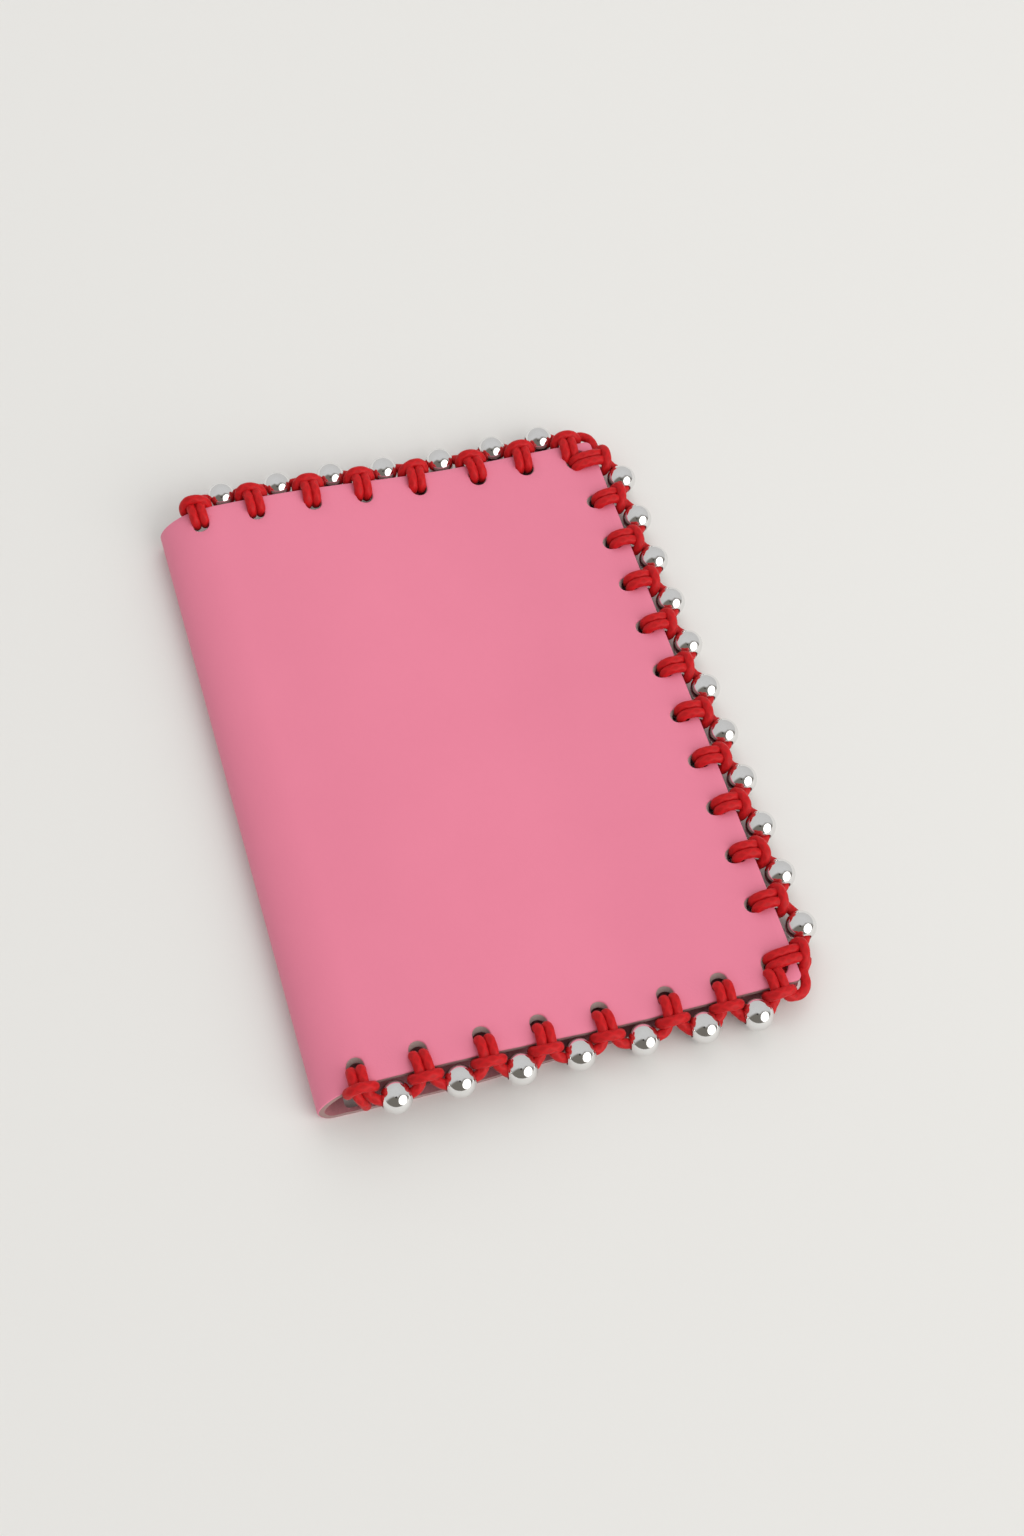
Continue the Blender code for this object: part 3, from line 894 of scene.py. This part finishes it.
def side_lacing(beads, wobble):
    """Hitches and beads along the open side, from the near corner to the far one."""
    places = [HITCH_FROM_CORNER] + side_places + [cover_length - HITCH_FROM_CORNER]
    along, outwards = Vector((0, 1, 0)), Vector((1, 0, 0))
    points = []
    for i, y in enumerate(places):
        base = Vector((open_x, near_y + y, leather_middle(cover_width)))
        reach = CORNER_REACH if i in (0, len(places) - 1) else SIDE_REACH
        points += hitch_points(base, along, outwards, 0.0, wobble, reach)
        if i < len(beads):
            points += through_bead(beads[i], along)
    return points


def corner_cord(y, outwards):
    """The bare cord round a corner, close beyond the leather."""
    z = leather_middle(cover_width)
    return [
        Vector((open_x + a / 1000, y + outwards.y * b / 1000, z + c / 1000))
        for a, b, c in CORNER_STEPS
    ]


def cord_tail(y, outwards):
    """A short cut end that comes out under the first hitch and drops to the back cover's rim."""
    x = fold_x + edge_places[0]
    return [Vector((x + a / 1000, y + outwards.y * b / 1000, c / 1000)) for a, b, c in TAIL_STEPS]


def cord_route():
    """The whole cord from end to end: near edge, open side, far edge.

    The outermost points of a run lead to a neighbour that isn't there, so they are left out.
    """
    wobble = random.Random(11)
    near, far = Vector((0, -1, 0)), Vector((0, 1, 0))
    near_run = edge_lacing(near_y, near, bead_centres["near"], wobble, 0.0)
    side_run = side_lacing(bead_centres["side"], wobble)
    far_run = edge_lacing(far_y, far, bead_centres["far"], wobble, FAR_REACH)
    route = cord_tail(near_y, near) + near_run[2:-1] + corner_cord(near_y, near) + side_run[1:-1]
    route += corner_cord(far_y, far)[::-1] + far_run[-2:1:-1]
    return route + cord_tail(far_y, far)[::-1]


def smooth_route(points, step):
    """Even steps along a centripetal curve through the points."""
    given = np.array([tuple(p) for p in points])
    padded = np.vstack([2 * given[0] - given[1], given, 2 * given[-1] - given[-2]])
    fine = []
    for i in range(1, len(padded) - 2):
        p0, p1, p2, p3 = padded[i - 1:i + 3]
        spans = ((p0, p1), (p1, p2), (p2, p3))
        d1, d2, d3 = (max(np.linalg.norm(b - a), 1e-6) ** 0.5 for a, b in spans)
        m1 = d2 * ((p1 - p0) / d1 - (p2 - p0) / (d1 + d2) + (p2 - p1) / d2)
        m2 = d2 * ((p2 - p1) / d2 - (p3 - p1) / (d2 + d3) + (p3 - p2) / d3)
        for t in np.linspace(0, 1, 12, endpoint=False):
            h00, h10 = 2 * t**3 - 3 * t**2 + 1, t**3 - 2 * t**2 + t
            h01, h11 = -2 * t**3 + 3 * t**2, t**3 - t**2
            fine.append(h00 * p1 + h10 * m1 + h01 * p2 + h11 * m2)
    fine.append(padded[-2])
    fine = np.array(fine)
    along = np.concatenate([[0], np.cumsum(np.linalg.norm(np.diff(fine, axis=0), axis=1))])
    even = np.linspace(0, along[-1], int(along[-1] / step) + 1)
    return np.stack([np.interp(even, along, fine[:, k]) for k in range(3)], axis=1), even


def braided_tube(name, route, finish):
    """A round braid along the route: eight plaited strands stand a little proud of the surface."""
    centres, lengths = smooth_route(route, CORD_STEP)
    tangents = np.gradient(centres, axis=0)
    tangents /= np.linalg.norm(tangents, axis=1)[:, None]
    side = np.cross(tangents[0], (0.0, 0.0, 1.0))
    side /= np.linalg.norm(side)
    mesh = bmesh.new()
    uv = mesh.loops.layers.uv.new("UVMap")
    turns = np.arange(CORD_SIDES) * 2 * math.pi / CORD_SIDES
    cosines, sines = np.cos(turns), np.sin(turns)
    twist_rate = 2 * math.pi * 1000 / PLAIT_PITCH_MM
    rings = []
    for centre, tangent, length in zip(centres, tangents, lengths):
        side = side - tangent * np.dot(side, tangent)
        side /= np.linalg.norm(side)
        other = np.cross(tangent, side)
        twist = length * twist_rate
        plait = np.maximum(np.sin(4 * turns + twist), np.sin(4 * turns - twist))
        radii = CORD * (1 - PLAIT_RELIEF + PLAIT_RELIEF * plait)
        from_end = min(length, lengths[-1] - length)
        radii *= math.sqrt(max(1 - max(1 - from_end / CORD, 0) ** 2, 0.02))
        ring = centre + np.outer(cosines * radii, side) + np.outer(sines * radii, other)
        rings.append([mesh.verts.new(p) for p in ring])
    for k, (first, second) in enumerate(zip(rings, rings[1:])):
        for i in range(CORD_SIDES):
            j = (i + 1) % CORD_SIDES
            face = mesh.faces.new((first[i], first[j], second[j], second[i]))
            low, high = i / CORD_SIDES, (i + 1) / CORD_SIDES
            start, end = lengths[k] * 1000, lengths[k + 1] * 1000
            places = ((low, start), (high, start), (high, end), (low, end))
            for loop, place in zip(face.loops, places):
                loop[uv].uv = place
    mesh.faces.new(rings[0][::-1])
    mesh.faces.new(rings[-1])
    bmesh.ops.recalc_face_normals(mesh, faces=mesh.faces)
    obj = mesh_object(name, mesh, finish)
    obj.data.shade_smooth()
    return obj, float(lengths[-1])


def cord_material():
    """Red satin yarn: plaited strands in bump, with painted shade between them, and a soft sheen.
    """
    made, shader, tree = node_material("red satin cord")
    place = tree.nodes.new("ShaderNodeUVMap")
    place.uv_map = "UVMap"
    waves = []
    for slant in (1.0, -1.0):
        stretch = tree.nodes.new("ShaderNodeMapping")
        stretch.inputs["Scale"].default_value = (4.0, slant / PLAIT_PITCH_MM, 1.0)
        tree.links.new(place.outputs["UV"], stretch.inputs["Vector"])
        split = tree.nodes.new("ShaderNodeSeparateXYZ")
        tree.links.new(stretch.outputs["Vector"], split.inputs["Vector"])
        turns = maths(tree, "ADD", split.outputs["X"], split.outputs["Y"])
        angle = maths(tree, "MULTIPLY", turns, 2 * math.pi)
        waves.append(maths(tree, "SINE", angle))
    plait = maths(tree, "MAXIMUM", *waves)
    spot = tree.nodes.new("ShaderNodeTexCoord")
    fibres = add_node(tree, "ShaderNodeTexNoise", Scale=6000.0, Detail=2.0)
    tree.links.new(spot.outputs["Object"], fibres.inputs["Vector"])
    height = maths(tree, "MULTIPLY_ADD", fibres.outputs["Fac"], FIBRE_SHARE, plait)
    bump = add_node(tree, "ShaderNodeBump", Strength=0.35, Distance=0.00006)
    tree.links.new(height, bump.inputs["Height"])
    tree.links.new(bump.outputs["Normal"], shader.inputs["Normal"])
    # Painted shade: the red is taken darker where the plait runs low, between the strands.
    raised = tree.nodes.new("ShaderNodeMapRange")
    raised.inputs["From Min"].default_value = -0.2
    tree.links.new(plait, raised.inputs["Value"])
    shaded_between_strands, on_strands = (0.46, 0.002, 0.004, 1), (0.56, 0.003, 0.006, 1)
    colour = colour_mix(tree, raised.outputs["Result"], shaded_between_strands, on_strands)
    tree.links.new(colour, shader.inputs["Base Color"])
    shader.inputs["Roughness"].default_value = 0.55
    shader.inputs["Specular IOR Level"].default_value = 0.28
    shader.inputs["Sheen Weight"].default_value = 0.06
    shader.inputs["Sheen Roughness"].default_value = 0.4
    return made


cord, cord_length = braided_tube("braided_lacing", cord_route(), cord_material())
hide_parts("lacing_cord")
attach(cord, "front")
